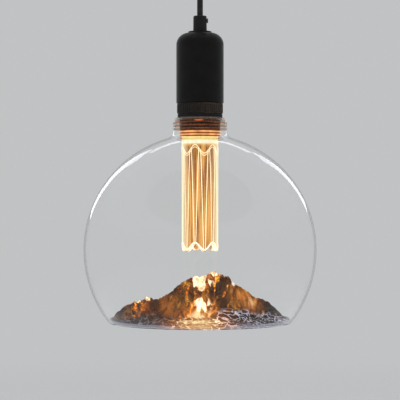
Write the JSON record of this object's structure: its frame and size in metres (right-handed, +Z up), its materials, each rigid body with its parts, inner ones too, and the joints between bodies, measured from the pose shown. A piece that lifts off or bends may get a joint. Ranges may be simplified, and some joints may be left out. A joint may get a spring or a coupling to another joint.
{
  "type": "led bulb",
  "caption": "Large clear globe LED bulb with a glowing wavy-edged light guide and a golden glass mountain in its base, screwed into a black pendant lampholder.",
  "frame": {"origin": "middle of the ceiling plate's top face, which lies on the ceiling", "axes": "+Z up along the cord, the lampholder and the bulb; the front, as pictured, is -Y; +X is to the right"},
  "size_m": [0.2, 0.2, 0.3434],
  "materials": {
    "plate_steel": "zinc-plated sheet",
    "cup_black": "satin black enamel",
    "grip_black": "matt moulded",
    "shell_black": "satin black enamel",
    "band_black": "matt moulded, ribbed",
    "cord_textile": "black braided textile",
    "screw_zinc": "zinc-plated",
    "grip_screw_black": "black nylon",
    "terminal_white": "white moulded",
    "insert_brown": "dark brown thermoset",
    "contact_brass": "bright sheet",
    "wire_brown": "insulation",
    "wire_blue": "insulation",
    "wire_red": "insulation",
    "seal_rubber": "black soft rubber",
    "cap_nickel": "nickel-plated, threaded",
    "cap_vitrite": "black fused glass",
    "housing_black": "black moulded",
    "board_green": "solder mask",
    "capacitor_blue": "shrunk sleeve",
    "coil_copper": "enamelled copper winding",
    "chip_black": "moulded package",
    "fuse_green": "lacquered",
    "sink_aluminium": "turned",
    "led_board_white": "white solder mask on aluminium",
    "led_phosphor": "lit phosphor",
    "collar_copper": "copper-toned anodised",
    "gasket_silicone": "milky silicone",
    "guide_acrylic": "clear, lit from its top edge",
    "cement_grey": "set cement",
    "globe_glass": "clear",
    "mountain_glass": "amber glass with a golden coat"
  },
  "bodies": {
    "lampholder": {"ceiling_plate": "plate_steel", "ceiling_cup": "cup_black", "cup_screws": "screw_zinc", "cup_cord_grip": "grip_black", "cup_grip_nut": "screw_zinc", "terminal_block": "terminal_white", "block_screws": "screw_zinc", "cup_wires": "wire_brown", "cord": "cord_textile", "cord_grip": "grip_black", "grip_screws": "grip_screw_black", "grip_nut": "screw_zinc", "holder_shell": "shell_black", "holder_insert": "insert_brown", "thread_sleeve": "contact_brass", "centre_contact": "contact_brass", "side_contact": "contact_brass", "terminal_screws": "screw_zinc", "wire_live": "wire_brown", "wire_neutral": "wire_blue", "knurled_ring": "band_black"},
    "seal": {"seal_ring": "seal_rubber"},
    "bulb": {"screw_cap": "cap_nickel", "cap_insulator": "cap_vitrite", "cap_contact": "contact_brass", "driver_housing": "housing_black", "driver_board": "board_green", "driver_capacitor": "capacitor_blue", "driver_coil": "coil_copper", "driver_chips": "chip_black", "fuse_resistor": "fuse_green", "lead_neutral": "wire_blue", "board_leads": "wire_red", "heat_sink": "sink_aluminium", "led_board": "led_board_white", "led_chips": "led_phosphor", "ring_collar": "collar_copper", "guide_gasket": "gasket_silicone", "light_guide": "guide_acrylic", "neck_cement": "cement_grey", "glass_globe": "globe_glass", "mountain_base": "mountain_glass"}
  },
  "joints": [
    {"name": "bulb_travel", "type": "slide", "parent": "lampholder", "child": "seal", "axis": [0, 0, -1], "range_m": [0, 0.01811]},
    {"name": "bulb_turn", "type": "hinge", "parent": "seal", "child": "bulb", "pos_m": [0, 0, -0.17], "axis": [0, 0, -1], "range_deg": [0, 1800]}
  ],
  "couplings": [
    {"joint": "bulb_travel", "follows": "bulb_turn", "m_per_rad": 0.00057614}
  ]
}
